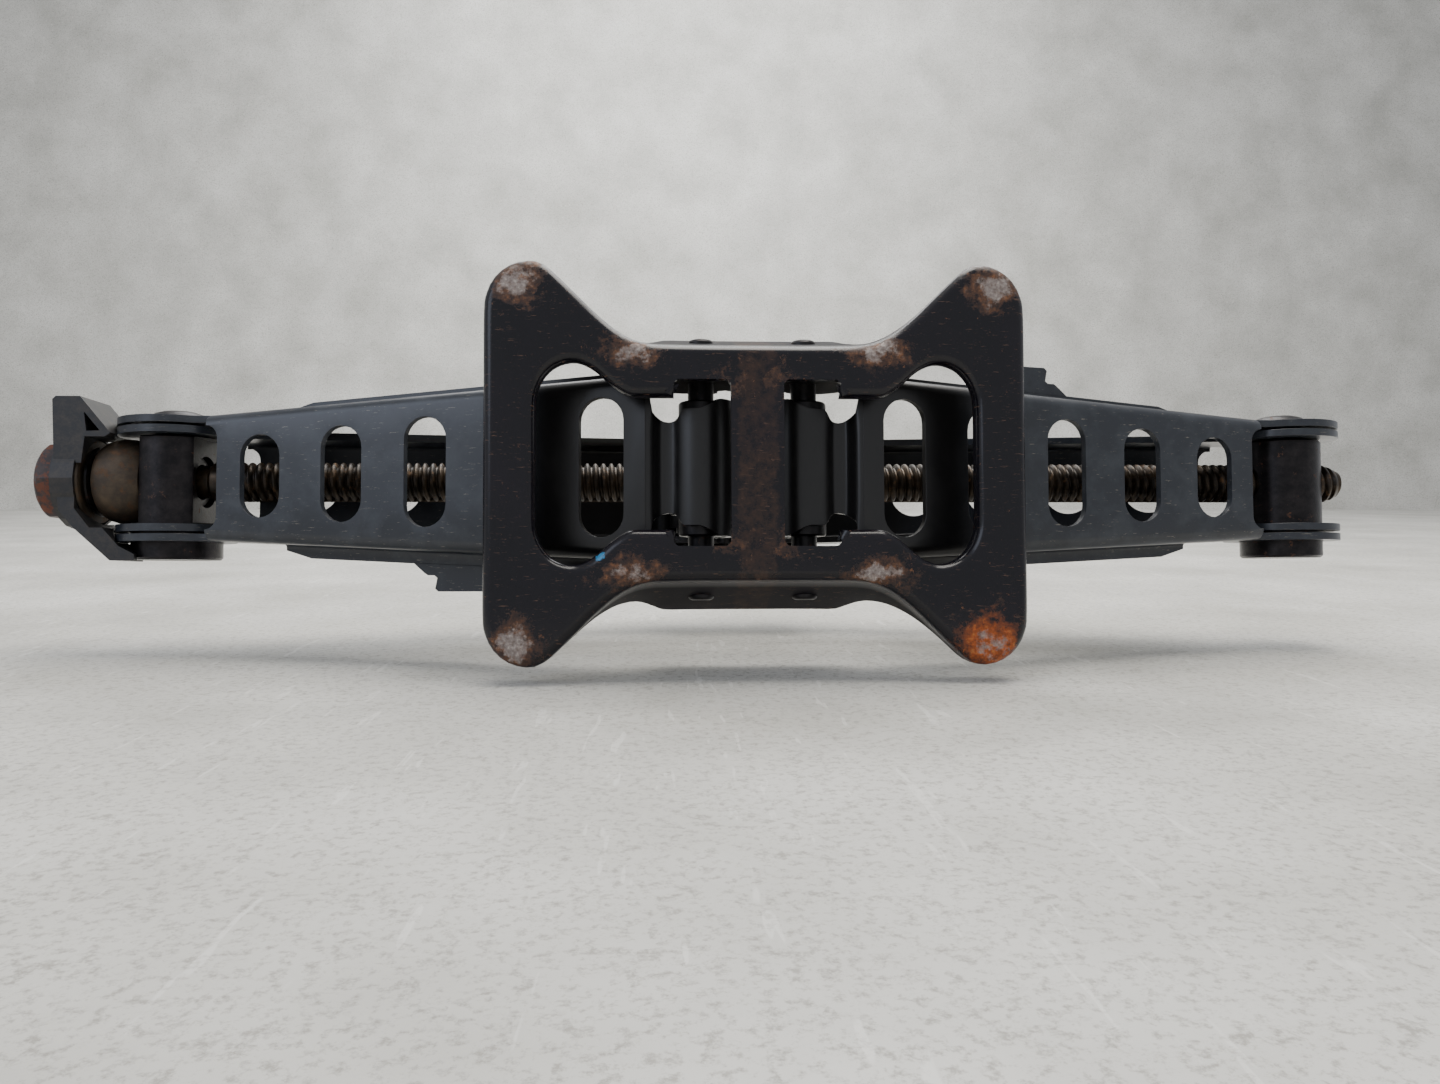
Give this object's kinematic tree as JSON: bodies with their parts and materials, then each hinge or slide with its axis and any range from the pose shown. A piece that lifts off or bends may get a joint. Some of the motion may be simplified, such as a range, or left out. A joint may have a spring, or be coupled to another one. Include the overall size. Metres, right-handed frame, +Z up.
{
  "type": "scissor jack",
  "caption": "Folded scissor jack: pressed bow-tie base, nested channel arms with geared ends, cross trunnions, a lead screw with a hexagon drive, and a small saddle.",
  "frame": {"origin": "centre of the base's underside", "axes": "+X along the screw, away from the drive hexagon; +Z up, the way the saddle lifts; Y across the jack"},
  "size_m": [0.3712, 0.1024, 0.1078],
  "materials": {
    "black_paint": "gloss, worn",
    "arm_paint": "satin",
    "dark_steel": "satin",
    "oiled_steel": "greasy",
    "rusty_steel": "rusted",
    "bush_steel": "stained",
    "black_plastic": "matte"
  },
  "bodies": {
    "base": {"base_plate": "black_paint", "base_pin_left": "dark_steel", "base_pin_right": "dark_steel"},
    "lower_left": {"lower_arm_left": "arm_paint", "base_sleeve_left": "dark_steel"},
    "lower_right": {"lower_arm_right": "arm_paint", "base_sleeve_right": "dark_steel"},
    "thrust_block": {"thrust_trunnion": "dark_steel", "thrust_bush": "bush_steel", "plain_washer": "dark_steel", "end_bracket": "black_plastic"},
    "nut_block": {"nut_trunnion": "dark_steel"},
    "upper_left": {"upper_arm_left": "arm_paint", "saddle_sleeve_left": "dark_steel"},
    "upper_right": {"upper_arm_right": "arm_paint", "saddle_sleeve_right": "dark_steel"},
    "head": {"saddle": "arm_paint", "saddle_pin_left": "dark_steel", "saddle_pin_right": "dark_steel"},
    "screw": {"lead_screw": "oiled_steel", "drive_hex": "rusty_steel", "cupped_washer": "bush_steel", "retaining_collar": "dark_steel"}
  },
  "joints": [
    {"name": "lift", "type": "hinge", "parent": "base", "child": "lower_left", "pos_m": [-0.0132, 0, 0.0175], "axis": [0, 1, 0], "range_deg": [0, 52]},
    {"name": "lower_right_pivot", "type": "hinge", "parent": "base", "child": "lower_right", "pos_m": [0.0132, 0, 0.0175], "axis": [0, -1, 0], "range_deg": [0, 52]},
    {"name": "thrust_block_pivot", "type": "hinge", "parent": "lower_left", "child": "thrust_block", "pos_m": [-0.1597, 0, 0.0539], "axis": [0, -1, 0], "range_deg": [0, 52]},
    {"name": "nut_block_pivot", "type": "hinge", "parent": "lower_right", "child": "nut_block", "pos_m": [0.1597, 0, 0.0539], "axis": [0, 1, 0], "range_deg": [0, 52]},
    {"name": "upper_left_pivot", "type": "hinge", "parent": "lower_left", "child": "upper_left", "pos_m": [-0.1597, 0, 0.0539], "axis": [0, -1, 0], "range_deg": [0, 104]},
    {"name": "upper_right_pivot", "type": "hinge", "parent": "lower_right", "child": "upper_right", "pos_m": [0.1597, 0, 0.0539], "axis": [0, 1, 0], "range_deg": [0, 104]},
    {"name": "saddle_pivot", "type": "hinge", "parent": "upper_left", "child": "head", "pos_m": [-0.0132, 0, 0.0903], "axis": [0, 1, 0], "range_deg": [0, 52]},
    {"name": "screw_turn", "type": "hinge", "parent": "thrust_block", "child": "screw", "pos_m": [-0.1597, 0, 0.0539], "axis": [1, 0, 0], "continuous": true}
  ],
  "couplings": [
    {"joint": "lower_right_pivot", "follows": "lift", "ratio": 1},
    {"joint": "thrust_block_pivot", "follows": "lift", "ratio": 1},
    {"joint": "nut_block_pivot", "follows": "lift", "ratio": 1},
    {"joint": "upper_left_pivot", "follows": "lift", "ratio": 2},
    {"joint": "upper_right_pivot", "follows": "lift", "ratio": 2},
    {"joint": "saddle_pivot", "follows": "lift", "ratio": 1}
  ]
}
